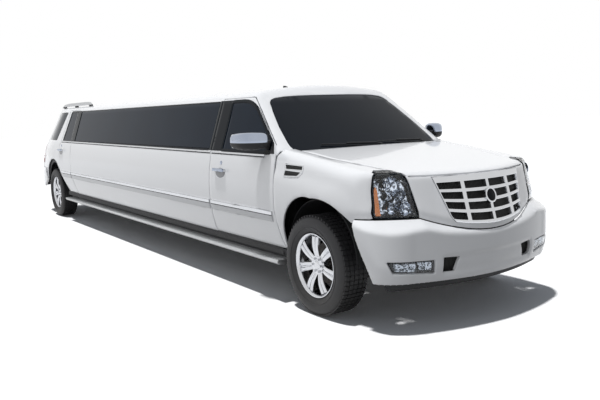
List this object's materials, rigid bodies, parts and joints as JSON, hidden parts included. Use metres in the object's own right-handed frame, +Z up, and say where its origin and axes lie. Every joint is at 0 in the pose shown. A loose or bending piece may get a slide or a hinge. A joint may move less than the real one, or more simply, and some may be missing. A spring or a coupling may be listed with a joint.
{
  "type": "stretch limousine",
  "caption": "Long white stretch limousine on a four-door wagon base: opening doors, hood and liftgate, steering and rolling wheels, hollow cabin with lounge.",
  "frame": {"origin": "on the ground, under the middle of the overall length and width", "axes": "+Z up, the front of the vehicle faces -Y, +X is the vehicle's left side"},
  "size_m": [2.392, 9.7163, 1.8869],
  "materials": {
    "body_paint": "clear-coated white paint",
    "tinted_glass": "dark tinted safety glass",
    "clear_glass": "lightly tinted laminated glass",
    "lamp_clear": "clear lens over chrome reflectors",
    "lamp_red": "red and clear lens",
    "chrome": "bright chrome",
    "tyre_rubber": "black tyre rubber",
    "black_trim": "grained black plastic",
    "frame_black": "black chassis paint",
    "bare_iron": "machined and cast iron",
    "step_silver": "brushed silver edge on black tread",
    "floor_black": "underbody coating",
    "seat_leather": "charcoal leather",
    "interior_grey": "soft dark grey plastic",
    "bar_wood": "polished dark wood"
  },
  "bodies": {
    "shell": {"bar_cabinet": "bar_wood", "chassis_frame": "frame_black", "cowl": "black_trim", "dashboard": "interior_grey", "divider": "interior_grey", "engine_block": "bare_iron", "exhaust": "bare_iron", "firewall": "floor_black", "fixed_side_glass": "tinted_glass", "floor_pan": "floor_black", "front_bumper": "body_paint", "front_fenders": "body_paint", "front_lamps": "lamp_clear", "front_seats": "seat_leather", "front_suspension": "bare_iron", "front_valance": "black_trim", "fuel_tank": "frame_black", "grille": "chrome", "grille_screen": "black_trim", "long_sides": "body_paint", "lounge_seats": "seat_leather", "nose_panel": "body_paint", "propeller_shaft": "bare_iron", "quarter_panels": "body_paint", "rear_axle": "bare_iron", "rear_bumper": "body_paint", "roof_fittings": "chrome", "roof_shell": "body_paint", "running_boards": "step_silver", "steering_wheel": "interior_grey", "tail_lamps": "lamp_red", "wheel_liners": "black_trim", "windscreen": "clear_glass"},
    "front_door_left": {"front_door_left": "body_paint", "front_door_glass_left": "tinted_glass", "mirror_left": "chrome"},
    "front_door_right": {"front_door_right": "body_paint", "front_door_glass_right": "tinted_glass", "mirror_right": "chrome"},
    "rear_door_left": {"rear_door_left": "body_paint", "rear_door_glass_left": "tinted_glass"},
    "rear_door_right": {"rear_door_right": "body_paint", "rear_door_glass_right": "tinted_glass"},
    "hood": {"hood": "body_paint"},
    "liftgate": {"liftgate": "body_paint", "liftgate_glass": "tinted_glass"},
    "knuckle_left": {"knuckle_left": "bare_iron"},
    "knuckle_right": {"knuckle_right": "bare_iron"},
    "wheel_front_left": {"wheel_front_left": "chrome", "tyre_front_left": "tyre_rubber"},
    "wheel_front_right": {"wheel_front_right": "chrome", "tyre_front_right": "tyre_rubber"},
    "wheel_rear_left": {"wheel_rear_left": "chrome", "tyre_rear_left": "tyre_rubber"},
    "wheel_rear_right": {"wheel_rear_right": "chrome", "tyre_rear_right": "tyre_rubber"}
  },
  "joints": [
    {"name": "front_door_left_hinge", "type": "hinge", "parent": "shell", "child": "front_door_left", "pos_m": [0.983, -3.418, 0.8], "axis": [0.0872, 0, -0.9962], "range_deg": [0, 67]},
    {"name": "front_door_right_hinge", "type": "hinge", "parent": "shell", "child": "front_door_right", "pos_m": [-0.983, -3.418, 0.8], "axis": [0.0872, 0, 0.9962], "range_deg": [0, 67]},
    {"name": "rear_door_left_hinge", "type": "hinge", "parent": "shell", "child": "rear_door_left", "pos_m": [0.983, 2.537, 0.8], "axis": [0.0872, 0, -0.9962], "range_deg": [0, 67]},
    {"name": "rear_door_right_hinge", "type": "hinge", "parent": "shell", "child": "rear_door_right", "pos_m": [-0.983, 2.537, 0.8], "axis": [0.0872, 0, 0.9962], "range_deg": [0, 67]},
    {"name": "hood_hinge", "type": "hinge", "parent": "shell", "child": "hood", "pos_m": [0, -3.483, 1.274], "axis": [-1, 0, 0], "range_deg": [0, 50]},
    {"name": "liftgate_hinge", "type": "hinge", "parent": "shell", "child": "liftgate", "pos_m": [0, 4.322, 1.822], "axis": [1, 0, 0], "range_deg": [0, 85]},
    {"name": "steer_left", "type": "hinge", "parent": "shell", "child": "knuckle_left", "pos_m": [0.787, -3.868, 0.401], "axis": [0, 0, 1], "range_deg": [-33, 33]},
    {"name": "steer_right", "type": "hinge", "parent": "shell", "child": "knuckle_right", "pos_m": [-0.787, -3.868, 0.401], "axis": [0, 0, 1], "range_deg": [-33, 33]},
    {"name": "spin_front_left", "type": "hinge", "parent": "knuckle_left", "child": "wheel_front_left", "pos_m": [0.866, -3.868, 0.401], "axis": [1, 0, 0], "continuous": true},
    {"name": "spin_front_right", "type": "hinge", "parent": "knuckle_right", "child": "wheel_front_right", "pos_m": [-0.866, -3.868, 0.401], "axis": [1, 0, 0], "continuous": true},
    {"name": "spin_rear_left", "type": "hinge", "parent": "shell", "child": "wheel_rear_left", "pos_m": [0.851, 3.65, 0.401], "axis": [1, 0, 0], "continuous": true},
    {"name": "spin_rear_right", "type": "hinge", "parent": "shell", "child": "wheel_rear_right", "pos_m": [-0.851, 3.65, 0.401], "axis": [1, 0, 0], "continuous": true}
  ],
  "couplings": [
    {"joint": "steer_right", "follows": "steer_left", "ratio": 1}
  ]
}
